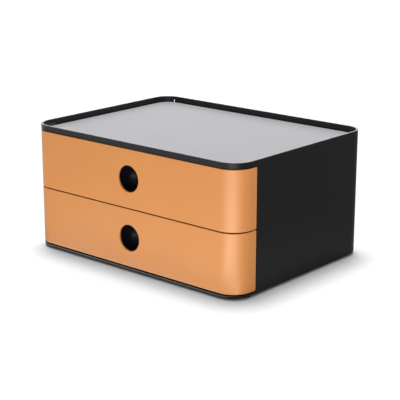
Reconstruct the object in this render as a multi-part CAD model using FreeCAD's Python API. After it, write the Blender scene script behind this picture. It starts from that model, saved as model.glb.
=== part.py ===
"""Two-drawer desktop file box: a moulded housing with a recessed metal tray top, and two
finger-hole drawers whose coloured fronts wrap round the front corners.

Millimetres. X runs left to right, Y from front to back, Z up. The origin is on the desk,
under the middle of the box. The front of the closed drawers is at -Y.
"""
import os

import FreeCAD
import Part

# ---- overall box ----
WIDTH = 260.0                 # outside, side to side
DEPTH = 195.0                 # outside, closed front to back
HEIGHT = 125.0                # desk to the top of the rim
FRONT_CORNER_RADIUS = 20.5    # upright corners, seen from above
REAR_CORNER_RADIUS = 18.5
TOP_EDGE_ROUND = 0.5          # along the top of the rim
BOTTOM_EDGE_ROUND = 3.0       # along the underside of the housing

# ---- housing ----
SIDE_WALL = 2.4
DECK_THICKNESS = 2.4          # carries the metal plate, closes the upper drawer bay
RIM_THICKNESS = 2.0           # the upstand round the top
RIM_HEIGHT = 5.85             # rim top above the metal plate
BROW_HEIGHT = 5.2             # the band over the upper drawer front
BASE_RAIL_HEIGHT = 3.3        # the band under the lower drawer front
BASE_WALL = 4.4               # wall round the underside, behind the rounded edge
HEADER_COVER = 1.8            # housing behind the thinned top edge of a drawer front
HEADER_LAP = 3.4              # how far that thinned edge stands up in front of it
SILL_WIDTH = 2.0              # slope at the foot of the rim, round the front
SILL_RISE = 2.4
CHEEK_THICKNESS = 2.2         # housing wall that stands inside the wrapped drawer fronts
CHEEK_REACH = 14.0            # in front of the seam
CHEEK_ROOT = 4.0              # behind the seam, joined to the side wall
LEDGE_THICKNESS = 2.0         # inner flange that the bottom panel is fixed to
LEDGE_WIDTH = 8.0

# ---- slot for a clip-on accessory, through the rim at the rear left corner ----
ACCESSORY_SLOT_WIDTH = 1.8
ACCESSORY_SLOT_HEIGHT = 3.8
ACCESSORY_SLOT_FROM_SIDE = 13.3

# ---- metal plate in the top ----
PLATE_THICKNESS = 1.2
PLATE_INSET = 4.3             # from the outside of the box
PLATE_EDGE_BREAK = 0.2

# ---- bottom panel and feet ----
BOTTOM_THICKNESS = 2.0
BOTTOM_RECESS = 0.2           # panel above the lower edge of the housing
PANEL_FIT = 0.3               # gap round a fitted panel
GLIDE_RIB_WIDTH = 3.0
GLIDE_RIB_SPACING = 85.0
GLIDE_RIB_COUNT = 3
FOOT_PROUD = 0.8              # housing above the desk
FOOT_DIAMETER = 12.0
FOOT_POCKET_DEPTH = 0.8
FOOT_FIT = 0.2
FOOT_FROM_SIDE = 26.0
FOOT_FROM_FRONT = 24.0
FOOT_EDGE_ROUND = 0.4

# ---- back panel ----
BACK_THICKNESS = 2.4
BACK_SKIN = 1.4               # outer layer, the rest plugs the opening
BACK_FLANGE = 8.0             # flat housing between a rear corner and the panel
BACK_FRAME_LOW = 8.0
BACK_FRAME_HIGH = 17.0
BACK_REBATE = 3.0
BUMPER_WIDTH = 4.0
BUMPER_HEIGHT = 20.0
BUMPER_FROM_MIDDLE = 60.0

# ---- shelf between the drawers ----
SHELF_THICKNESS = 2.0
SHELF_SEAT = 6.0              # how far the shelf lies on its ledges
SHELF_LEDGE_THICKNESS = 2.0
SHELF_LIP_DROP = 3.6          # stiffening lip under the front edge
SHELF_LIP_THICKNESS = 2.0
SHELF_SETBACK = 5.4           # from the outside of the box
HOLD_DOWN_LENGTH = 6.0
HOLD_DOWN_LAP = 1.2
HOLD_DOWN_THICKNESS = 1.5
HOLD_DOWN_COUNT = 3

# ---- gaps that show ----
FRONT_GAP = 0.9               # over and between the drawer fronts
BASE_GAP = 1.2                # under the lower drawer front
SEAM_GAP = 0.7                # between a wrapped front and the side wall
SEAM_FROM_FRONT = 27.2        # length of the wrapped front along the side

# ---- drawers ----
DRAWER_COUNT = 2
FRONT_THICKNESS = 2.4
FRONT_EDGE_ROUND = 0.5
FRONT_THIN_EDGE = 1.4
WRAP_CLEARANCE = 0.5          # between a drawer front and the housing behind it
FINGER_HOLE_DIAMETER = 25.5
FINGER_HOLE_ROUND = 0.5
RUNNER_SPACE = 4.4            # beside the tray, for the stops and keepers
TRAY_WALL = 2.0
TRAY_FRONT_WALL = 2.4
TRAY_FLOOR = 2.0
TRAY_LIFT = 1.0               # tray bottom above the lower edge of its front
TRAY_HEADROOM = 1.35          # over the lower tray, under the lip of the shelf
TRAY_FRONT_RADIUS = 12.0
TRAY_REAR_RADIUS = 6.0
TRAY_EDGE_ROUND = 1.5
TRAY_REAR_SPACE = 4.0         # behind the closed tray
GLIDE_CLEARANCE = 0.3         # under and beside a running tray
TRAVEL = 145.0                # from closed to the pull-out stop
STOP_PLAY = 0.4               # left between wing and stop rib at full travel
WING_LENGTH = 6.0
WING_HEIGHT = 10.0
WING_DROP = 2.0               # below the top of the tray
STOP_RIB_LENGTH = 4.0
KEEPER_THICKNESS = 2.0
KEEPER_CLEARANCE = 0.5

# ---- finger cup behind each hole ----
CUP_WALL = 1.2
CUP_STRAIGHT = 4.0            # straight part before the round bottom
CUP_STEP = 0.2                # cup mouth wider than the hole in the front
CUP_FLANGE_WIDTH = 2.4
CUP_FLANGE_THICKNESS = 1.0
CUP_FIT = 0.1

# ---- places that follow from the sizes above ----
HALF_WIDTH = WIDTH / 2
FRONT_Y = -DEPTH / 2
REAR_Y = DEPTH / 2
RAIL_TOP = FOOT_PROUD + BASE_RAIL_HEIGHT
BROW_LOW = HEIGHT - BROW_HEIGHT
PLATE_TOP = HEIGHT - RIM_HEIGHT
DECK_TOP = PLATE_TOP - PLATE_THICKNESS
DECK_UNDER = DECK_TOP - DECK_THICKNESS
RIM_FOOT_INSET = RIM_THICKNESS + SILL_WIDTH
WRAP_INSET = FRONT_THICKNESS + WRAP_CLEARANCE
HEADER_LOW = BROW_LOW - HEADER_LAP
SEAM_Y = FRONT_Y + SEAM_FROM_FRONT
WALL_FRONT_Y = SEAM_Y + SEAM_GAP
CHEEK_INSET = WRAP_INSET + CHEEK_THICKNESS
CHEEK_FRONT_Y = SEAM_Y - CHEEK_REACH
CHEEK_REAR_Y = WALL_FRONT_Y + CHEEK_ROOT

BOTTOM_LOW = FOOT_PROUD + BOTTOM_RECESS
LEDGE_LOW = BOTTOM_LOW + BOTTOM_THICKNESS
LEDGE_TOP = LEDGE_LOW + LEDGE_THICKNESS
FOOT_TOP = BOTTOM_LOW + FOOT_POCKET_DEPTH

FRONT_HEIGHT = (BROW_LOW - RAIL_TOP - BASE_GAP - FRONT_GAP * DRAWER_COUNT) / DRAWER_COUNT
DRAWER_PITCH = FRONT_HEIGHT + FRONT_GAP
DRAWER_LOWS = [RAIL_TOP + BASE_GAP + DRAWER_PITCH * place for place in range(DRAWER_COUNT)]
DRAWER_NAMES = ["lower", "upper"]

TRAY_HALF = HALF_WIDTH - CHEEK_INSET - RUNNER_SPACE
TRAY_FRONT_Y = FRONT_Y + FRONT_THICKNESS
TRAY_REAR_Y = REAR_Y - BACK_THICKNESS - TRAY_REAR_SPACE
KEEPER_INSIDE = TRAY_HALF + KEEPER_CLEARANCE
WING_OUTSIDE = TRAY_HALF + RUNNER_SPACE - KEEPER_CLEARANCE
STOP_Y = TRAY_REAR_Y - WING_LENGTH - TRAVEL - STOP_PLAY

SHELF_TOP = DRAWER_LOWS[1] + TRAY_LIFT - GLIDE_CLEARANCE
SHELF_LOW = SHELF_TOP - SHELF_THICKNESS
SHELF_LIP_LOW = SHELF_LOW - SHELF_LIP_DROP
SHELF_HALF = HALF_WIDTH - SHELF_SETBACK
TRAY_HEIGHT = SHELF_LIP_LOW - TRAY_HEADROOM - DRAWER_LOWS[0] - TRAY_LIFT

FINGER_HOLE_RADIUS = FINGER_HOLE_DIAMETER / 2
CUP_MOUTH_RADIUS = FINGER_HOLE_RADIUS + CUP_STEP
CUP_OUTER_RADIUS = CUP_MOUTH_RADIUS + CUP_WALL
CUP_FLANGE_RADIUS = CUP_OUTER_RADIUS + CUP_FLANGE_WIDTH
CUP_ROUND_Y = TRAY_FRONT_Y + CUP_STRAIGHT

UP = FreeCAD.Vector(0, 0, 1)
BACKWARD = FreeCAD.Vector(0, 1, 0)
SIDES = (-1, 1)
OVERRUN = 1.0                 # how far a cutting solid passes the surface that it cuts


# ---- shapes that every part is made from ----
def rounded_outline(x_half, y_front, y_rear, front_radius, rear_radius, z):
    """Closed wire of a rectangle with one radius at its front corners, one at its rear."""
    corners = [
        (x_half, y_front, front_radius, -90, 0),
        (x_half, y_rear, rear_radius, 0, 90),
        (-x_half, y_rear, rear_radius, 90, 180),
        (-x_half, y_front, front_radius, 180, 270),
    ]
    arcs = []
    for x, y, radius, start, end in corners:
        centre = FreeCAD.Vector(
            x - radius if x > 0 else x + radius,
            y + radius if y == y_front else y - radius,
            z,
        )
        arcs.append(Part.makeCircle(radius, centre, UP, start, end))
    edges = []
    for arc, following in zip(arcs, arcs[1:] + arcs[:1]):
        edges.append(arc)
        leave = arc.valueAt(arc.LastParameter)
        meet = following.valueAt(following.FirstParameter)
        edges.append(Part.makeLine(leave, meet))
    return Part.Wire(edges)


def box_outline(inset, z):
    """Outline of the whole box, a constant distance inside its outer face."""
    return rounded_outline(
        HALF_WIDTH - inset,
        FRONT_Y + inset,
        REAR_Y - inset,
        FRONT_CORNER_RADIUS - inset,
        REAR_CORNER_RADIUS - inset,
        z,
    )


def upright(wire, height):
    """Solid that stands on a flat outline."""
    return Part.Face(wire).extrude(UP * height)


def prism(inset, low, high):
    """The box's outline, inset, from one height to another."""
    return upright(box_outline(inset, low), high - low)


def ring(outer_inset, inner_inset, low, high):
    """Wall that follows the box's outline between two insets."""
    inner = prism(inner_inset, low - OVERRUN, high + OVERRUN)
    return prism(outer_inset, low, high).cut(inner)


def block(x_low, x_high, y_low, y_high, z_low, z_high):
    """Plain rectangular block between two corners."""
    corner = FreeCAD.Vector(min(x_low, x_high), y_low, z_low)
    return Part.makeBox(abs(x_high - x_low), y_high - y_low, z_high - z_low, corner)


def span(y_low, y_high):
    """Everything between two planes across the box."""
    return block(-WIDTH, WIDTH, y_low, y_high, -HEIGHT, HEIGHT * 2)


def front_zone(y_high):
    """Everything in front of a plane across the box."""
    return span(-DEPTH * 2, y_high)


def rear_zone(y_low):
    """Everything behind a plane across the box."""
    return span(y_low, DEPTH * 2)


def level_edges(shape, z):
    """Edges of a solid that lie flat at one height."""
    near = 1e-4
    return [
        edge for edge in shape.Edges
        if abs(edge.BoundBox.ZMin - z) < near and abs(edge.BoundBox.ZMax - z) < near
    ]


def join(shapes):
    """One clean solid from overlapping ones."""
    return shapes[0].fuse(shapes[1:]).removeSplitter()


def save(name, shape):
    """Write one node."""
    shape.exportStep("parts/" + name + ".step")


# ---- housing ----
def top_recess():
    """The tray in the top: straight walls, with a sloped sill round the front."""
    above = HEIGHT + OVERRUN
    straight = prism(RIM_THICKNESS, DECK_TOP, above).common(rear_zone(WALL_FRONT_Y))
    pocket = prism(RIM_FOOT_INSET, DECK_TOP, PLATE_TOP)
    slope = Part.makeLoft(
        [box_outline(RIM_FOOT_INSET, PLATE_TOP), box_outline(RIM_THICKNESS, PLATE_TOP + SILL_RISE)],
        True,
        True,
    )
    mouth = prism(RIM_THICKNESS, PLATE_TOP + SILL_RISE, above)
    sill = join([pocket, slope, mouth]).common(front_zone(WALL_FRONT_Y + OVERRUN))
    return join([straight, sill])


def front_opening():
    """What the drawer fronts fill: all of the front, and round it to the side seams."""
    outside = prism(-OVERRUN, RAIL_TOP, HEADER_LOW)
    below_header = outside.cut(prism(WRAP_INSET, RAIL_TOP, HEADER_LOW))
    beside_header = prism(-OVERRUN, HEADER_LOW, BROW_LOW).cut(
        prism(HEADER_COVER, HEADER_LOW, BROW_LOW)
    )
    return join([below_header, beside_header]).common(front_zone(WALL_FRONT_Y))


def bottom_ledge():
    """Flange inside the lower edge, for the bottom panel."""
    joined = SIDE_WALL / 2
    under_fronts = ring(joined, LEDGE_WIDTH, LEDGE_LOW, RAIL_TOP)
    inside_fronts = ring(WRAP_INSET, LEDGE_WIDTH, LEDGE_LOW, LEDGE_TOP)
    behind = ring(joined, LEDGE_WIDTH, LEDGE_LOW, LEDGE_TOP).common(rear_zone(WALL_FRONT_Y))
    return [under_fronts, inside_fronts, behind]


def cheeks():
    """The two curved walls that the wrapped fronts slide over."""
    top = DECK_UNDER + DECK_THICKNESS / 2
    lined = ring(WRAP_INSET, CHEEK_INSET, LEDGE_LOW, top)
    rooted = ring(SIDE_WALL / 2, CHEEK_INSET, LEDGE_LOW, top)
    return [
        lined.common(span(CHEEK_FRONT_Y, CHEEK_REAR_Y)),
        rooted.common(span(WALL_FRONT_Y, CHEEK_REAR_Y)),
    ]


def side_ribs(side, tray_low):
    """Keeper rib over a drawer's stop wing, and the rib that the wing meets when pulled."""
    wall = side * (HALF_WIDTH - SIDE_WALL / 2)
    inside = side * KEEPER_INSIDE
    wing_top = tray_low + TRAY_HEIGHT - WING_DROP
    keeper_low = wing_top + KEEPER_CLEARANCE
    keeper_high = keeper_low + KEEPER_THICKNESS
    stop_front = STOP_Y - STOP_RIB_LENGTH
    keeper = block(wall, inside, stop_front, TRAY_REAR_Y, keeper_low, keeper_high)
    stop = block(wall, inside, stop_front, STOP_Y, wing_top - WING_HEIGHT, keeper_high)
    within_wall = prism(SIDE_WALL / 2, keeper_low, keeper_high)
    return [keeper.common(within_wall), stop]


def shelf_ledges(side):
    """Ledge under one side of the shelf, and the nibs that hold the shelf down on it."""
    wall = side * (HALF_WIDTH - SIDE_WALL / 2)
    ledge_front = CHEEK_REAR_Y - OVERRUN
    ledge_rear = REAR_Y - REAR_CORNER_RADIUS
    ledge = block(
        wall, side * (SHELF_HALF - SHELF_SEAT),
        ledge_front, ledge_rear,
        SHELF_LOW - SHELF_LEDGE_THICKNESS, SHELF_LOW,
    )
    shapes = [ledge]
    pitch = (ledge_rear - ledge_front) / HOLD_DOWN_COUNT
    for place in range(HOLD_DOWN_COUNT):
        middle = ledge_front + pitch * (place + 0.5)
        shapes.append(block(
            wall, side * (SHELF_HALF - HOLD_DOWN_LAP),
            middle - HOLD_DOWN_LENGTH / 2, middle + HOLD_DOWN_LENGTH / 2,
            SHELF_TOP, SHELF_TOP + HOLD_DOWN_THICKNESS,
        ))
    return shapes


def back_opening(half, low, high, y_low, y_high):
    """Rectangular opening in the rear wall."""
    return block(-half, half, y_low, y_high, low, high)


BACK_HALF = HALF_WIDTH - REAR_CORNER_RADIUS - BACK_FLANGE
BACK_LOW = FOOT_PROUD + BACK_FRAME_LOW
BACK_HIGH = HEIGHT - BACK_FRAME_HIGH
BACK_SKIN_Y = REAR_Y - BACK_SKIN


def make_housing():
    """Sides, rear frame, deck, rim, brow and base rail in one moulding."""
    outer = prism(0, FOOT_PROUD, HEIGHT)
    outer = outer.makeFillet(BOTTOM_EDGE_ROUND, level_edges(outer, FOOT_PROUD))
    outer = outer.makeFillet(TOP_EDGE_ROUND, level_edges(outer, HEIGHT))
    bay = prism(SIDE_WALL, LEDGE_LOW, DECK_UNDER)
    underside = prism(BASE_WALL, FOOT_PROUD - OVERRUN, LEDGE_LOW)
    shell = outer.cut([bay, underside, top_recess(), front_opening()])
    shell = shell.cut([
        back_opening(BACK_HALF, BACK_LOW, BACK_HIGH, BACK_SKIN_Y, REAR_Y + OVERRUN),
        back_opening(
            BACK_HALF - BACK_REBATE, BACK_LOW + BACK_REBATE, BACK_HIGH - BACK_REBATE,
            REAR_Y - SIDE_WALL - OVERRUN, REAR_Y,
        ),
    ])
    added = bottom_ledge() + cheeks()
    for side in SIDES:
        added += shelf_ledges(side)
        for front_low in DRAWER_LOWS:
            added += side_ribs(side, front_low + TRAY_LIFT)
    shell = join([shell] + added)
    slot_left = -HALF_WIDTH + ACCESSORY_SLOT_FROM_SIDE - ACCESSORY_SLOT_WIDTH / 2
    slot = block(
        slot_left, slot_left + ACCESSORY_SLOT_WIDTH,
        REAR_Y - REAR_CORNER_RADIUS, REAR_Y + OVERRUN,
        DECK_TOP, DECK_TOP + ACCESSORY_SLOT_HEIGHT,
    )
    return shell.cut(slot)


def make_top_plate():
    """Metal plate glued down in the top recess."""
    plate = prism(PLATE_INSET, DECK_TOP, PLATE_TOP)
    return plate.makeChamfer(PLATE_EDGE_BREAK, level_edges(plate, PLATE_TOP))


def foot_places():
    """Name and centre of each foot."""
    places = {}
    for x_name, x in (("left", -1), ("right", 1)):
        for y_name, y in (("front", -1), ("rear", 1)):
            places["foot_" + y_name + "_" + x_name] = FreeCAD.Vector(
                x * (HALF_WIDTH - FOOT_FROM_SIDE), y * (REAR_Y - FOOT_FROM_FRONT), 0
            )
    return places


def make_bottom_panel():
    """Flat panel fixed up against the ledge, with the ribs that the lower tray runs on."""
    panel = prism(BASE_WALL + PANEL_FIT, BOTTOM_LOW, LEDGE_LOW)
    rib_top = DRAWER_LOWS[0] + TRAY_LIFT - GLIDE_CLEARANCE
    inside = LEDGE_WIDTH + PANEL_FIT
    ribs = []
    for place in range(GLIDE_RIB_COUNT):
        middle = GLIDE_RIB_SPACING * (place - (GLIDE_RIB_COUNT - 1) / 2)
        ribs.append(block(
            middle - GLIDE_RIB_WIDTH / 2, middle + GLIDE_RIB_WIDTH / 2,
            FRONT_Y + inside, REAR_Y - inside,
            BOTTOM_LOW + BOTTOM_THICKNESS / 2, rib_top,
        ))
    panel = join([panel] + ribs)
    pockets = []
    for centre in foot_places().values():
        pockets.append(Part.makeCylinder(
            FOOT_DIAMETER / 2 + FOOT_FIT, FOOT_TOP, centre, UP
        ))
    return panel.cut(pockets)


def make_foot(centre):
    """Round rubber pad stuck in a pocket of the bottom panel."""
    foot = Part.makeCylinder(FOOT_DIAMETER / 2, FOOT_TOP, centre, UP)
    return foot.makeFillet(FOOT_EDGE_ROUND, level_edges(foot, 0))


def make_back_panel():
    """Panel snapped into the rear frame, with the ribs that the closed trays stop on."""
    half = BACK_HALF - PANEL_FIT
    low = BACK_LOW + PANEL_FIT
    high = BACK_HIGH - PANEL_FIT
    inner_y = REAR_Y - BACK_THICKNESS
    skin = back_opening(half, low, high, BACK_SKIN_Y, REAR_Y)
    plug = back_opening(
        half - BACK_REBATE, low + BACK_REBATE, high - BACK_REBATE, inner_y, REAR_Y
    )
    bumper_y = TRAY_REAR_Y + GLIDE_CLEARANCE
    bumpers = []
    for front_low in DRAWER_LOWS:
        middle = front_low + TRAY_LIFT + TRAY_HEIGHT / 2
        for side in SIDES:
            x = side * BUMPER_FROM_MIDDLE
            bumpers.append(block(
                x - BUMPER_WIDTH / 2, x + BUMPER_WIDTH / 2,
                bumper_y, REAR_Y - BACK_SKIN / 2,
                middle - BUMPER_HEIGHT / 2, middle + BUMPER_HEIGHT / 2,
            ))
    return join([skin, plug] + bumpers)


def make_divider_shelf():
    """Shelf that the upper drawer runs on, with a lip under its front edge."""
    shelf = prism(SHELF_SETBACK, SHELF_LOW, SHELF_TOP)
    lip = ring(
        SHELF_SETBACK, SHELF_SETBACK + SHELF_LIP_THICKNESS,
        SHELF_LIP_LOW, SHELF_TOP,
    )
    straight_half = HALF_WIDTH - FRONT_CORNER_RADIUS
    lip = lip.common(block(
        -straight_half, straight_half, FRONT_Y, 0, SHELF_LIP_LOW, SHELF_TOP
    ))
    return join([shelf, lip])


# ---- drawers ----
def hole_centre(front_low):
    """Middle of the finger hole, in the plane of the drawer front."""
    return FreeCAD.Vector(0, FRONT_Y, front_low + FRONT_HEIGHT / 2)


def make_drawer_front(front_low):
    """Coloured front, wrapped round both corners, with a thinned top edge inside."""
    top = front_low + FRONT_HEIGHT
    outer = prism(0, front_low, top)
    outer = outer.makeFillet(
        FRONT_EDGE_ROUND, level_edges(outer, front_low) + level_edges(outer, top)
    )
    inside = prism(FRONT_THICKNESS, front_low - OVERRUN, top + OVERRUN)
    thinned = prism(FRONT_THIN_EDGE, top - HEADER_LAP, top + OVERRUN)
    shell = outer.cut([inside, thinned]).common(front_zone(SEAM_Y))
    centre = hole_centre(front_low)
    start = centre - BACKWARD * OVERRUN
    hole = Part.makeCylinder(
        FINGER_HOLE_RADIUS, FRONT_THICKNESS + 2 * OVERRUN, start, BACKWARD
    )
    shell = shell.cut(hole)
    rim = [
        edge for edge in shell.Edges
        if edge.BoundBox.YMax < FRONT_Y + 1e-4 and edge.BoundBox.XLength > FINGER_HOLE_RADIUS
        and edge.BoundBox.XLength < FINGER_HOLE_DIAMETER + OVERRUN
    ]
    return shell.makeFillet(FINGER_HOLE_ROUND, rim)


def make_tray(front_low):
    """Black tray with a pocket for the finger cup and a stop wing at each rear corner."""
    low = front_low + TRAY_LIFT
    top = low + TRAY_HEIGHT
    outer = upright(
        rounded_outline(
            TRAY_HALF, TRAY_FRONT_Y, TRAY_REAR_Y, TRAY_FRONT_RADIUS, TRAY_REAR_RADIUS, low
        ),
        TRAY_HEIGHT,
    )
    outer = outer.makeFillet(TRAY_EDGE_ROUND, level_edges(outer, low))
    floor = low + TRAY_FLOOR
    inner = upright(
        rounded_outline(
            TRAY_HALF - TRAY_WALL, TRAY_FRONT_Y + TRAY_FRONT_WALL, TRAY_REAR_Y - TRAY_WALL,
            TRAY_FRONT_RADIUS - TRAY_WALL, TRAY_REAR_RADIUS - TRAY_WALL, floor,
        ),
        TRAY_HEIGHT,
    )
    inner = inner.makeFillet(TRAY_EDGE_ROUND, level_edges(inner, floor))
    tray = outer.cut(inner)
    wings = []
    for side in SIDES:
        wings.append(block(
            side * (TRAY_HALF - TRAY_WALL / 2), side * WING_OUTSIDE,
            TRAY_REAR_Y - WING_LENGTH, TRAY_REAR_Y,
            top - WING_DROP - WING_HEIGHT, top - WING_DROP,
        ))
    corner_free = upright(
        rounded_outline(
            WING_OUTSIDE, TRAY_FRONT_Y, TRAY_REAR_Y, TRAY_FRONT_RADIUS, TRAY_REAR_RADIUS, low
        ),
        TRAY_HEIGHT,
    )
    wings = [wing.common(corner_free).cut(inner) for wing in wings]
    tray = join([tray] + wings)
    centre = hole_centre(front_low) - BACKWARD * OVERRUN
    depth = FRONT_THICKNESS + OVERRUN
    bore = Part.makeCylinder(
        CUP_OUTER_RADIUS + CUP_FIT, depth + TRAY_FRONT_WALL + OVERRUN, centre, BACKWARD
    )
    seat = Part.makeCylinder(
        CUP_FLANGE_RADIUS + CUP_FIT, depth + CUP_FLANGE_THICKNESS, centre, BACKWARD
    )
    return tray.cut([bore, seat])


def make_finger_cup(front_low):
    """Round-bottomed cup, its flange held between the tray and the front."""
    centre = hole_centre(front_low)
    z = centre.z

    def point(radius, y):
        return FreeCAD.Vector(radius, y, z)

    def quarter(radius):
        """Round bottom, from the straight wall to the axis."""
        slant = radius / 2 ** 0.5
        return Part.Arc(
            point(radius, CUP_ROUND_Y),
            point(slant, CUP_ROUND_Y + slant),
            point(0, CUP_ROUND_Y + radius),
        ).toShape()

    flange_y = TRAY_FRONT_Y + CUP_FLANGE_THICKNESS
    inner_end = point(0, CUP_ROUND_Y + CUP_MOUTH_RADIUS)
    outer_end = point(0, CUP_ROUND_Y + CUP_OUTER_RADIUS)
    profile = Part.Wire([
        quarter(CUP_MOUTH_RADIUS),
        Part.makeLine(inner_end, outer_end),
        quarter(CUP_OUTER_RADIUS),
        Part.makeLine(point(CUP_OUTER_RADIUS, CUP_ROUND_Y), point(CUP_OUTER_RADIUS, flange_y)),
        Part.makeLine(point(CUP_OUTER_RADIUS, flange_y), point(CUP_FLANGE_RADIUS, flange_y)),
        Part.makeLine(
            point(CUP_FLANGE_RADIUS, flange_y), point(CUP_FLANGE_RADIUS, TRAY_FRONT_Y)
        ),
        Part.makeLine(
            point(CUP_FLANGE_RADIUS, TRAY_FRONT_Y), point(CUP_MOUTH_RADIUS, TRAY_FRONT_Y)
        ),
        Part.makeLine(point(CUP_MOUTH_RADIUS, TRAY_FRONT_Y), point(CUP_MOUTH_RADIUS, CUP_ROUND_Y)),
    ])
    return Part.Face(profile).revolve(centre, BACKWARD, 360)


# ---- write every node ----
os.makedirs("parts", exist_ok=True)
save("housing_shell", make_housing())
save("top_plate", make_top_plate())
save("bottom_panel", make_bottom_panel())
save("back_panel", make_back_panel())
save("divider_shelf", make_divider_shelf())
for foot_name, foot_centre in foot_places().items():
    save(foot_name, make_foot(foot_centre))
for drawer_name, drawer_low in zip(DRAWER_NAMES, DRAWER_LOWS):
    save(drawer_name + "_drawer_front", make_drawer_front(drawer_low))
    save(drawer_name + "_drawer_tray", make_tray(drawer_low))
    save(drawer_name + "_finger_cup", make_finger_cup(drawer_low))
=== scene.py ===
import math

import bmesh
import bpy
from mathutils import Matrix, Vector


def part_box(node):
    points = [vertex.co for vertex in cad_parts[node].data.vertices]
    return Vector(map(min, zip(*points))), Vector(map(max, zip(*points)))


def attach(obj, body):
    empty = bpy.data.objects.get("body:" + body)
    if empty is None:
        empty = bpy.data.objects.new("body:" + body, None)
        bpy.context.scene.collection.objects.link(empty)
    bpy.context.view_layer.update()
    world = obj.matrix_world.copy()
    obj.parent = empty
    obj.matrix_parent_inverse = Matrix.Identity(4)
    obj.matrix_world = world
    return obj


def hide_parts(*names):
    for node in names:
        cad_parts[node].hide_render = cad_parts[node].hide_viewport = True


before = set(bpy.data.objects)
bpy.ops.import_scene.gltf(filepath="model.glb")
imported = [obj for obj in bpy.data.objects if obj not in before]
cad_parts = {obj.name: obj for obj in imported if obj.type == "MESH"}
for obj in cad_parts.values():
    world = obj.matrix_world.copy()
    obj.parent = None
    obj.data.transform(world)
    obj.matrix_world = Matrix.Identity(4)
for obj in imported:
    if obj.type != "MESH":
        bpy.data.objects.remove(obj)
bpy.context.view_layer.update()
scene = bpy.context.scene
scene.view_settings.view_transform = "Standard"


# ---- housing ----
# Sides, rear frame, deck and rim are one injection moulding in black ABS. The tool is
# spark eroded, which leaves a fine satin grain, and no moulded edge comes out knife sharp.
MM = 0.001
HOUSING_EDGE_ROUND = 0.3 * MM
EDGE_SEGMENTS = 3
SHARP_EDGE = math.radians(35)
FLAT_FACETS = math.radians(0.3)
SAME_PLACE = 0.001 * MM
BLACK = (0.0055, 0.0055, 0.0068)
FLOW_PER_METRE = 14.0
FLOW_TINT = 0.035
GRAIN_ROUGHNESS = 0.04
GRAIN_RELIEF = 0.5


def grained_plastic(name, colour, roughness, gloss, grain=0.6 * MM, depth=0.02 * MM):
    """Moulded plastic: spark-eroded grain in its roughness and relief, faint flow in its tint."""
    plastic = bpy.data.materials.new(name)
    plastic.use_nodes = True
    nodes, links = plastic.node_tree.nodes, plastic.node_tree.links
    shader = nodes["Principled BSDF"]
    shader.inputs["Specular IOR Level"].default_value = gloss
    place = nodes.new("ShaderNodeTexCoord")
    pits = nodes.new("ShaderNodeTexNoise")
    pits.inputs["Scale"].default_value = 1.0 / grain
    pits.inputs["Detail"].default_value = 2.0
    links.new(place.outputs["Object"], pits.inputs["Vector"])
    flow = nodes.new("ShaderNodeTexNoise")
    flow.inputs["Scale"].default_value = FLOW_PER_METRE
    flow.inputs["Detail"].default_value = 1.0
    links.new(place.outputs["Object"], flow.inputs["Vector"])
    tint = nodes.new("ShaderNodeMix")
    tint.data_type = "RGBA"
    tint.inputs["A"].default_value = (*[part * (1 - FLOW_TINT) for part in colour], 1)
    tint.inputs["B"].default_value = (*[part * (1 + FLOW_TINT) for part in colour], 1)
    links.new(flow.outputs["Fac"], tint.inputs["Factor"])
    links.new(tint.outputs["Result"], shader.inputs["Base Color"])
    spread = nodes.new("ShaderNodeMapRange")
    spread.inputs["To Min"].default_value = roughness - GRAIN_ROUGHNESS
    spread.inputs["To Max"].default_value = roughness + GRAIN_ROUGHNESS
    links.new(pits.outputs["Fac"], spread.inputs["Value"])
    links.new(spread.outputs["Result"], shader.inputs["Roughness"])
    relief = nodes.new("ShaderNodeBump")
    relief.inputs["Distance"].default_value = depth
    relief.inputs["Strength"].default_value = GRAIN_RELIEF
    links.new(pits.outputs["Fac"], relief.inputs["Height"])
    links.new(relief.outputs["Normal"], shader.inputs["Normal"])
    return plastic


def finish_edges(rough, edge_round):
    """Round every sharp edge of a rough piece, and give back its mesh with flat faces flat."""
    bevel = rough.modifiers.new("edge_round", "BEVEL")
    bevel.width = edge_round
    bevel.segments = EDGE_SEGMENTS
    bevel.limit_method = "ANGLE"
    bevel.angle_limit = SHARP_EDGE
    bevel.miter_outer = "MITER_ARC"
    bevel.use_clamp_overlap = False
    shading = rough.modifiers.new("flat_faces", "WEIGHTED_NORMAL")
    shading.keep_sharp = True
    bpy.context.view_layer.update()
    mesh = bpy.data.meshes.new_from_object(
        rough.evaluated_get(bpy.context.evaluated_depsgraph_get()))
    bpy.data.objects.remove(rough)
    return mesh


def dress(mesh, piece_name, body, node_name, plastic):
    """Put a finished mesh in the place of its node, in its plastic and on its body."""
    mesh.name = piece_name
    mesh.materials.clear()
    mesh.materials.append(plastic)
    piece = bpy.data.objects.new(piece_name, mesh)
    scene.collection.objects.link(piece)
    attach(piece, body)
    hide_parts(node_name)


def eased_moulding(node_name, piece_name, body, edge_round):
    """The node's own shape in black plastic, its facets merged and its sharp edges eased."""
    shape = bpy.data.meshes.new(piece_name + "_rough")
    work = bmesh.new()
    work.from_mesh(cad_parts[node_name].data)
    bmesh.ops.remove_doubles(work, verts=work.verts, dist=SAME_PLACE)
    bmesh.ops.dissolve_limit(
        work, angle_limit=FLAT_FACETS, verts=work.verts, edges=work.edges)
    for face in work.faces:
        face.smooth = True
    work.to_mesh(shape)
    work.free()
    rough = bpy.data.objects.new(shape.name, shape)
    scene.collection.objects.link(rough)
    mesh = finish_edges(rough, edge_round)
    dress(mesh, piece_name, body, node_name, black_plastic)


black_plastic = grained_plastic("grained_black", BLACK, roughness=0.34, gloss=0.32)
eased_moulding("housing_shell", "housing_moulding", "housing", HOUSING_EDGE_ROUND)


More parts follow.
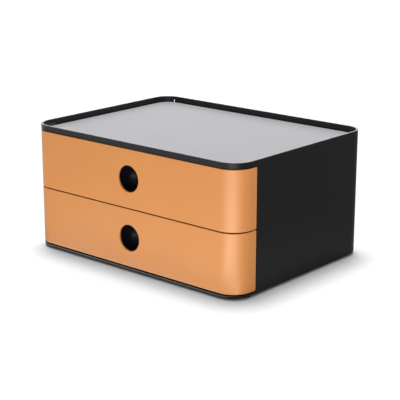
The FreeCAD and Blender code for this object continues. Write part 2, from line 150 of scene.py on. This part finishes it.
# ---- bottom panel ----
# A flat black moulding bonded up against the housing's lower ledge. Its three ribs are the
# glides of the lower tray.
INNER_EDGE_ROUND = 0.25 * MM
eased_moulding("bottom_panel", "bottom_cover", "housing", INNER_EDGE_ROUND)


# ---- feet ----
# Four die-cut pads of black rubber, stuck in round pockets of the bottom panel. The box
# stands on them, and their lower edge is rounded.
FOOT_RADIUS = 6.0 * MM
FOOT_EDGE_ROUND = 0.4 * MM
FOOT_EDGE_STEPS = 6
FOOT_POCKET_EDGE_ROUND = 0.1 * MM
FOOT_STEPS = 64
SWEEP_CORE = 1.0 * MM
RUBBER_DARK = (0.010, 0.010, 0.010, 1)
RUBBER_PALE = (0.022, 0.022, 0.021, 1)
RUBBER_GLOSS = 0.25
RUBBER_BLOOM_PER_METRE = 900.0
RUBBER_ROUGHNESS = (0.7, 0.9)


def arc(centre, radius, start, end, steps):
    """Points of an arc in a section, angles in degrees, both ends included."""
    points = []
    for step in range(steps + 1):
        angle = math.radians(start + (end - start) * step / steps)
        points.append((centre[0] + radius * math.cos(angle), centre[1] + radius * math.sin(angle)))
    return points


def turned_tree():
    """Geometry Nodes for a turned part: a closed section (radius, height) swept round Z."""
    tree = bpy.data.node_groups.new("turned_part", "GeometryNodeTree")
    sockets = tree.interface
    sockets.new_socket("Section", in_out="INPUT", socket_type="NodeSocketGeometry")
    sockets.new_socket("Steps", in_out="INPUT", socket_type="NodeSocketInt")
    sockets.new_socket("Turn", in_out="INPUT", socket_type="NodeSocketRotation")
    sockets.new_socket("Place", in_out="INPUT", socket_type="NodeSocketVector")
    sockets.new_socket("Finish", in_out="INPUT", socket_type="NodeSocketMaterial")
    sockets.new_socket("Part", in_out="OUTPUT", socket_type="NodeSocketGeometry")
    nodes, links = tree.nodes, tree.links
    given = nodes.new("NodeGroupInput")
    made = nodes.new("NodeGroupOutput")
    section = nodes.new("GeometryNodeMeshToCurve")
    links.new(given.outputs["Section"], section.inputs["Mesh"])
    circle = nodes.new("GeometryNodeCurvePrimitiveCircle")
    circle.inputs["Radius"].default_value = SWEEP_CORE
    links.new(given.outputs["Steps"], circle.inputs["Resolution"])
    inward = nodes.new("GeometryNodeTransform")
    inward.inputs["Translation"].default_value = (-SWEEP_CORE, 0, 0)
    links.new(section.outputs["Curve"], inward.inputs["Geometry"])
    sweep = nodes.new("GeometryNodeCurveToMesh")
    links.new(circle.outputs["Curve"], sweep.inputs["Curve"])
    links.new(inward.outputs["Geometry"], sweep.inputs["Profile Curve"])
    poles = nodes.new("GeometryNodeMergeByDistance")
    poles.inputs["Distance"].default_value = SAME_PLACE
    links.new(sweep.outputs["Mesh"], poles.inputs["Geometry"])
    stand = nodes.new("GeometryNodeTransform")
    links.new(poles.outputs["Geometry"], stand.inputs["Geometry"])
    links.new(given.outputs["Turn"], stand.inputs["Rotation"])
    links.new(given.outputs["Place"], stand.inputs["Translation"])
    smooth = nodes.new("GeometryNodeSetShadeSmooth")
    links.new(stand.outputs["Geometry"], smooth.inputs["Geometry"])
    realize = nodes.new("GeometryNodeRealizeInstances")
    links.new(smooth.outputs["Geometry"], realize.inputs["Geometry"])
    paint = nodes.new("GeometryNodeSetMaterial")
    links.new(realize.outputs["Geometry"], paint.inputs["Geometry"])
    links.new(given.outputs["Finish"], paint.inputs["Material"])
    links.new(paint.outputs["Geometry"], made.inputs["Part"])
    return tree


def grown(name, section, tree, sizes):
    """A rough piece that a tree grows from its section (out, up), the tree's sizes set by name."""
    outline = bpy.data.meshes.new(name + "_section")
    loop = [(place, (place + 1) % len(section)) for place in range(len(section))]
    outline.from_pydata([(out, -up, 0.0) for out, up in section], loop, [])
    seed = bpy.data.objects.new(name + "_section", outline)
    scene.collection.objects.link(seed)
    growth = seed.modifiers.new("growth", "NODES")
    growth.node_group = tree
    for socket in tree.interface.items_tree:
        if socket.in_out == "INPUT" and socket.name in sizes:
            growth[socket.identifier] = sizes[socket.name]
    bpy.context.view_layer.update()
    mesh = bpy.data.meshes.new_from_object(
        seed.evaluated_get(bpy.context.evaluated_depsgraph_get()))
    bpy.data.objects.remove(seed)
    work = bmesh.new()
    work.from_mesh(mesh)
    bmesh.ops.remove_doubles(work, verts=work.verts, dist=SAME_PLACE)
    bmesh.ops.recalc_face_normals(work, faces=work.faces)
    for face in work.faces:
        face.smooth = True
    work.to_mesh(mesh)
    work.free()
    rough = bpy.data.objects.new(name + "_rough", mesh)
    scene.collection.objects.link(rough)
    return rough


rubber = bpy.data.materials.new("rubber_pad")
rubber.use_nodes = True
rubber_shader = rubber.node_tree.nodes["Principled BSDF"]
rubber_shader.inputs["Specular IOR Level"].default_value = RUBBER_GLOSS
rubber_place = rubber.node_tree.nodes.new("ShaderNodeTexCoord")
rubber_bloom = rubber.node_tree.nodes.new("ShaderNodeTexNoise")
rubber_bloom.inputs["Scale"].default_value = RUBBER_BLOOM_PER_METRE
rubber.node_tree.links.new(rubber_place.outputs["Object"], rubber_bloom.inputs["Vector"])
rubber_tint = rubber.node_tree.nodes.new("ShaderNodeMix")
rubber_tint.data_type = "RGBA"
rubber_tint.inputs["A"].default_value = RUBBER_DARK
rubber_tint.inputs["B"].default_value = RUBBER_PALE
rubber.node_tree.links.new(rubber_bloom.outputs["Fac"], rubber_tint.inputs["Factor"])
rubber.node_tree.links.new(rubber_tint.outputs["Result"], rubber_shader.inputs["Base Color"])
rubber_wear = rubber.node_tree.nodes.new("ShaderNodeMapRange")
rubber_wear.inputs["To Min"].default_value = RUBBER_ROUGHNESS[0]
rubber_wear.inputs["To Max"].default_value = RUBBER_ROUGHNESS[1]
rubber.node_tree.links.new(rubber_bloom.outputs["Fac"], rubber_wear.inputs["Value"])
rubber.node_tree.links.new(rubber_wear.outputs["Result"], rubber_shader.inputs["Roughness"])

turned_part = turned_tree()
for foot_name in ("foot_front_left", "foot_front_right", "foot_rear_left", "foot_rear_right"):
    low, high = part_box(foot_name)
    middle = ((low[0] + high[0]) / 2, (low[1] + high[1]) / 2, 0.0)
    thick = high[2]
    edge = FOOT_RADIUS - FOOT_EDGE_ROUND
    foot_section = [(0.0, thick), (FOOT_RADIUS, thick)]
    foot_section += arc(
        (edge, FOOT_EDGE_ROUND), FOOT_EDGE_ROUND, start=0, end=-90, steps=FOOT_EDGE_STEPS)
    foot_section += [(0.0, 0.0)]
    foot = grown(foot_name + "_pad", foot_section, turned_part, {
        "Steps": FOOT_STEPS, "Place": middle, "Finish": rubber})
    dress(finish_edges(foot, FOOT_POCKET_EDGE_ROUND), foot_name + "_pad", "housing", foot_name,
          rubber)


# ---- back panel ----
# A black moulding snapped into the rear frame. The ribs on its inner face are the stops of
# the closed trays.
eased_moulding("back_panel", "back_cover", "housing", INNER_EDGE_ROUND)


# ---- shelf ----
# The black moulded shelf that the upper drawer runs on. It lies on ledges of the housing,
# under the nibs that hold it down.
eased_moulding("divider_shelf", "drawer_shelf", "housing", INNER_EDGE_ROUND)


# ---- top plate ----
# Sheet metal glued down in the recess of the top, with a satin lacquer. It keeps the CAD
# node's own mesh, whose edge is already broken.
SATIN = (0.345, 0.338, 0.357)
satin_metal = grained_plastic(
    "satin_lacquer", SATIN, roughness=0.6, gloss=0.2, grain=0.5 * MM, depth=0.008 * MM)
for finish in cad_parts["top_plate"].material_slots:
    finish.material = satin_metal


# ---- drawer trays ----
# One deep black tray to each drawer, in the same grained plastic as the housing, with a stop
# wing at each rear corner and a pocket for the finger cup in its front wall.
TRAY_EDGE_ROUND = 0.4 * MM
for drawer in ("lower", "upper"):
    eased_moulding(
        drawer + "_drawer_tray", drawer + "_tray", drawer + "_drawer", TRAY_EDGE_ROUND)


# ---- finger cups ----
# A round-bottomed black cup to each drawer, its flange held between the tray and the coloured
# front. It has the housing's plastic with a duller finish.
CUP_MOUTH_RADIUS = 12.95 * MM
CUP_WALL = 1.2 * MM
CUP_FLANGE_RADIUS = 16.55 * MM
CUP_FLANGE_THICKNESS = 1.0 * MM
CUP_STRAIGHT = 4.0 * MM
CUP_EDGE_ROUND = 0.2 * MM
CUP_STEPS = 96
CUP_BOTTOM_STEPS = 24
cup_outer = CUP_MOUTH_RADIUS + CUP_WALL
cup_section = [(CUP_MOUTH_RADIUS, 0.0)]
cup_section += arc((0.0, CUP_STRAIGHT), CUP_MOUTH_RADIUS, start=0, end=90, steps=CUP_BOTTOM_STEPS)
cup_section += arc((0.0, CUP_STRAIGHT), cup_outer, start=90, end=0, steps=CUP_BOTTOM_STEPS)
cup_section += [
    (cup_outer, CUP_FLANGE_THICKNESS), (CUP_FLANGE_RADIUS, CUP_FLANGE_THICKNESS),
    (CUP_FLANGE_RADIUS, 0.0)]
cup_plastic = grained_plastic("grained_cup", BLACK, roughness=0.34, gloss=0.1)
for drawer in ("lower", "upper"):
    low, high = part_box(drawer + "_finger_cup")
    mouth = ((low[0] + high[0]) / 2, low[1], (low[2] + high[2]) / 2)
    cup = grown(drawer + "_cup", cup_section, turned_part, {
        "Steps": CUP_STEPS, "Turn": (math.radians(-90), 0.0, 0.0), "Place": mouth,
        "Finish": cup_plastic})
    dress(finish_edges(cup, CUP_EDGE_ROUND), drawer + "_cup", drawer + "_drawer",
          drawer + "_finger_cup", cup_plastic)


# ---- drawer fronts ----
# Caramel-coloured mouldings, one section carried round both front corners to the side seams.
# The top edge is thinned behind, where it stands in front of the housing, and the finger hole
# is rounded over.
CARAMEL = (0.66, 0.248, 0.052)
FRONT_THICKNESS = 2.4 * MM
FRONT_THIN_EDGE = 1.4 * MM
FRONT_LAP = 3.4 * MM
FRONT_CORNER_RADIUS = 20.5 * MM
FRONT_EDGE_ROUND = 0.65 * MM
FRONT_CORNER_STEPS = 24
FINGER_HOLE_RADIUS = 12.75 * MM
FINGER_HOLE_STEPS = 96
DRILL_DEPTH = 10.0 * MM


def wrapped_tree():
    """Geometry Nodes for a front: its section swept round two corners, with a round hole."""
    tree = bpy.data.node_groups.new("wrapped_front", "GeometryNodeTree")
    sockets = tree.interface
    sockets.new_socket("Section", in_out="INPUT", socket_type="NodeSocketGeometry")
    for size in ("Half width", "Front", "Seam", "Low", "Corner radius", "Hole radius",
                 "Hole height"):
        sockets.new_socket(size, in_out="INPUT", socket_type="NodeSocketFloat")
    for count in ("Corner steps", "Hole steps"):
        sockets.new_socket(count, in_out="INPUT", socket_type="NodeSocketInt")
    sockets.new_socket("Finish", in_out="INPUT", socket_type="NodeSocketMaterial")
    sockets.new_socket("Front panel", in_out="OUTPUT", socket_type="NodeSocketGeometry")
    nodes, links = tree.nodes, tree.links
    given = nodes.new("NodeGroupInput")
    made = nodes.new("NodeGroupOutput")
    left = nodes.new("ShaderNodeMath")
    left.operation = "MULTIPLY"
    left.inputs[1].default_value = -1.0
    links.new(given.outputs["Half width"], left.inputs[0])
    path = nodes.new("GeometryNodeCurvePrimitiveQuadrilateral")
    path.mode = "POINTS"
    sides = (left.outputs[0], left.outputs[0], given.outputs["Half width"],
             given.outputs["Half width"])
    for place, (x, y) in enumerate(zip(sides, ("Seam", "Front", "Front", "Seam"))):
        corner = nodes.new("ShaderNodeCombineXYZ")
        links.new(x, corner.inputs["X"])
        links.new(given.outputs[y], corner.inputs["Y"])
        links.new(given.outputs["Low"], corner.inputs["Z"])
        links.new(corner.outputs["Vector"], path.inputs["Point %d" % (place + 1)])
    ends = nodes.new("GeometryNodeSetSplineCyclic")
    ends.inputs["Cyclic"].default_value = False
    links.new(path.outputs["Curve"], ends.inputs["Geometry"])
    corners = nodes.new("GeometryNodeFilletCurve")
    corners.mode = "POLY"
    links.new(ends.outputs["Geometry"], corners.inputs["Curve"])
    links.new(given.outputs["Corner radius"], corners.inputs["Radius"])
    links.new(given.outputs["Corner steps"], corners.inputs["Count"])
    level = nodes.new("GeometryNodeSetCurveNormal")
    level.mode = "Z_UP"
    links.new(corners.outputs["Curve"], level.inputs["Curve"])
    section = nodes.new("GeometryNodeMeshToCurve")
    links.new(given.outputs["Section"], section.inputs["Mesh"])
    sweep = nodes.new("GeometryNodeCurveToMesh")
    sweep.inputs["Fill Caps"].default_value = True
    links.new(level.outputs["Curve"], sweep.inputs["Curve"])
    links.new(section.outputs["Curve"], sweep.inputs["Profile Curve"])
    drill = nodes.new("GeometryNodeMeshCylinder")
    drill.inputs["Depth"].default_value = DRILL_DEPTH
    links.new(given.outputs["Hole radius"], drill.inputs["Radius"])
    links.new(given.outputs["Hole steps"], drill.inputs["Vertices"])
    aim = nodes.new("ShaderNodeCombineXYZ")
    links.new(given.outputs["Front"], aim.inputs["Y"])
    links.new(given.outputs["Hole height"], aim.inputs["Z"])
    across = nodes.new("GeometryNodeTransform")
    across.inputs["Rotation"].default_value = (math.radians(90), 0, 0)
    links.new(drill.outputs["Mesh"], across.inputs["Geometry"])
    links.new(aim.outputs["Vector"], across.inputs["Translation"])
    hole = nodes.new("GeometryNodeMeshBoolean")
    hole.operation = "DIFFERENCE"
    links.new(sweep.outputs["Mesh"], hole.inputs[0])
    links.new(across.outputs["Geometry"], hole.inputs[1])
    realize = nodes.new("GeometryNodeRealizeInstances")
    links.new(hole.outputs[0], realize.inputs["Geometry"])
    paint = nodes.new("GeometryNodeSetMaterial")
    links.new(realize.outputs["Geometry"], paint.inputs["Geometry"])
    links.new(given.outputs["Finish"], paint.inputs["Material"])
    links.new(paint.outputs["Geometry"], made.inputs["Front panel"])
    return tree


caramel_plastic = grained_plastic(
    "grained_caramel", CARAMEL, roughness=0.46, gloss=0.55, depth=0.015 * MM)
wrapped_front = wrapped_tree()
for drawer in ("lower", "upper"):
    low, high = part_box(drawer + "_drawer_front")
    tall = high[2] - low[2]
    front_section = [
        (0.0, 0.0), (0.0, tall), (-FRONT_THIN_EDGE, tall), (-FRONT_THIN_EDGE, tall - FRONT_LAP),
        (-FRONT_THICKNESS, tall - FRONT_LAP), (-FRONT_THICKNESS, 0.0)]
    front = grown(drawer + "_front", front_section, wrapped_front, {
        "Half width": high[0], "Front": low[1], "Seam": high[1], "Low": low[2],
        "Corner radius": FRONT_CORNER_RADIUS, "Corner steps": FRONT_CORNER_STEPS,
        "Hole radius": FINGER_HOLE_RADIUS, "Hole height": (low[2] + high[2]) / 2,
        "Hole steps": FINGER_HOLE_STEPS, "Finish": caramel_plastic})
    dress(finish_edges(front, FRONT_EDGE_ROUND), drawer + "_front", drawer + "_drawer",
          drawer + "_drawer_front", caramel_plastic)


# ---- studio ----
# The box stands on pale paper in a white room, under a broad overhead light and between two
# softboxes. White cards lie on the paper before it: one lights the foot of the lower front,
# and the others show only in gloss.
CAMERA_PLACE = (0.753066, -0.865521, 0.376235)
CAMERA_DOWN = 15.891
CAMERA_ROUND = 40.898
CAMERA_ROLL = 0.065
CAMERA_LENS = 108.45
camera_data = bpy.data.cameras.new("camera")
camera_data.sensor_width = 36.0
camera_data.lens = CAMERA_LENS
camera_data.clip_end = 30.0
camera = bpy.data.objects.new("camera", camera_data)
scene.collection.objects.link(camera)
camera.rotation_euler = (math.radians(90.0 - CAMERA_DOWN), 0, math.radians(CAMERA_ROUND))
camera.rotation_euler.rotate_axis("Z", math.radians(CAMERA_ROLL))
camera.location = CAMERA_PLACE
scene.camera = camera

# In gloss the paper is darker, most of all behind the right side: a painted shade that the black
# side mirrors, so that it stays black.
PAPER_HALF_WIDTH = 12.0
PAPER = 0.9
PAPER_IN_GLOSS_FRONT = 0.75
PAPER_IN_GLOSS_BEHIND = 0.17
BEHIND_RIGHT = (0.75, 0.66, 0.0)
DARKER_FROM = -0.3
DARKER_TO = 0.25
paper = bpy.data.materials.new("paper")
paper.use_nodes = True
nodes, links = paper.node_tree.nodes, paper.node_tree.links
shader = nodes["Principled BSDF"]
shader.inputs["Roughness"].default_value = 0.9
shader.inputs["Specular IOR Level"].default_value = 0.0
path = nodes.new("ShaderNodeLightPath")
tone = nodes.new("ShaderNodeMix")
tone.data_type = "RGBA"
tone.inputs["A"].default_value = (PAPER, PAPER, PAPER, 1)
place = nodes.new("ShaderNodeTexCoord")
behind = nodes.new("ShaderNodeVectorMath")
behind.operation = "DOT_PRODUCT"
behind.inputs[1].default_value = BEHIND_RIGHT
links.new(place.outputs["Object"], behind.inputs[0])
dim = nodes.new("ShaderNodeMapRange")
dim.inputs["From Min"].default_value = DARKER_FROM
dim.inputs["From Max"].default_value = DARKER_TO
dim.inputs["To Min"].default_value = PAPER_IN_GLOSS_FRONT
dim.inputs["To Max"].default_value = PAPER_IN_GLOSS_BEHIND
links.new(behind.outputs["Value"], dim.inputs["Value"])
links.new(dim.outputs["Result"], tone.inputs["B"])
links.new(path.outputs["Is Glossy Ray"], tone.inputs["Factor"])
links.new(tone.outputs["Result"], shader.inputs["Base Color"])
sheet_mesh = bpy.data.meshes.new("paper_sheet")
sheet_mesh.from_pydata(
    [(x * PAPER_HALF_WIDTH, y * PAPER_HALF_WIDTH, 0)
     for x, y in ((-1, -1), (1, -1), (1, 1), (-1, 1))], [], [(0, 1, 2, 3)])
sheet_mesh.materials.append(paper)
paper_sheet = bpy.data.objects.new("paper_sheet", sheet_mesh)
scene.collection.objects.link(paper_sheet)

ROOM_LIGHT = 0.19
ROOM_IN_GLOSS = 1.0
room = bpy.data.worlds.new("white_room")
scene.world = room
room.use_nodes = True
nodes, links = room.node_tree.nodes, room.node_tree.links
walls = nodes["Background"]
walls.inputs["Color"].default_value = (1, 1, 1, 1)
path = nodes.new("ShaderNodeLightPath")
gloss_level = nodes.new("ShaderNodeMapRange")
gloss_level.inputs["To Min"].default_value = ROOM_LIGHT
gloss_level.inputs["To Max"].default_value = ROOM_IN_GLOSS
links.new(path.outputs["Is Glossy Ray"], gloss_level.inputs["Value"])
seen_level = nodes.new("ShaderNodeMath")
seen_level.operation = "MAXIMUM"
links.new(gloss_level.outputs["Result"], seen_level.inputs[0])
links.new(path.outputs["Is Camera Ray"], seen_level.inputs[1])
links.new(seen_level.outputs[0], walls.inputs["Strength"])


def softbox(name, place, aim, width, height, power):
    """A rectangular lamp that stands at a place and faces a point."""
    lamp = bpy.data.lights.new(name, "AREA")
    lamp.shape = "RECTANGLE"
    lamp.size, lamp.size_y = width, height
    lamp.energy = power
    box = bpy.data.objects.new(name, lamp)
    scene.collection.objects.link(box)
    box.location = place
    box.rotation_euler = (Vector(aim) - Vector(place)).to_track_quat("-Z", "Y").to_euler()
    box.visible_camera = False
    return box


def card(name, place, width, depth, power, gloss_only=True):
    """A white card on the paper, as a lamp that faces straight up."""
    sheet = softbox(name, place, (place[0], place[1], 1.0), width, depth, power)
    sheet.visible_diffuse = not gloss_only
    return sheet


OVERHEAD_FROM = (-0.1, 0.07, 1.0)
OVERHEAD_SPREAD = 22
OVERHEAD_POWER = 2.95
overhead_lamp = bpy.data.lights.new("overhead", "SUN")
overhead_lamp.energy = OVERHEAD_POWER
overhead_lamp.angle = math.radians(OVERHEAD_SPREAD)
overhead = bpy.data.objects.new("overhead", overhead_lamp)
scene.collection.objects.link(overhead)
overhead.rotation_euler = Vector(OVERHEAD_FROM).to_track_quat("Z", "Y").to_euler()
softbox("front_softbox", place=(0.6, -0.85, 0.11), aim=(0.0, 0.0, 0.08),
        width=0.6, height=0.20, power=3.8)
card("front_card", place=(0.0, -0.17, 0.004), width=0.30, depth=0.10, power=0.065,
     gloss_only=False)
card("rail_card", place=(0.0, -0.106, 0.0004), width=0.25, depth=0.014, power=0.036)
corner_card = card("corner_card", place=(0.215, -0.25, 0.004), width=0.22, depth=0.22, power=0.72)
corner_foot_card = card(
    "corner_foot_card", place=(0.145, -0.104, 0.0004), width=0.03, depth=0.026, power=0.010)
softbox("back_softbox", place=(-1.64, 1.89, 0.84), aim=(0.0, 0.0, 0.12),
        width=1.9, height=0.8, power=14.0)

# The corner's two cards shine on the coloured fronts alone, so that no tray mirrors them, and
# the fronts throw none of their colour on the paper.
coloured = bpy.data.collections.new("coloured_fronts")
for drawer in ("lower", "upper"):
    coloured.objects.link(bpy.data.objects[drawer + "_front"])
    bpy.data.objects[drawer + "_front"].visible_diffuse = False
for shining in (corner_card, corner_foot_card):
    shining.light_linking.receiver_collection = coloured
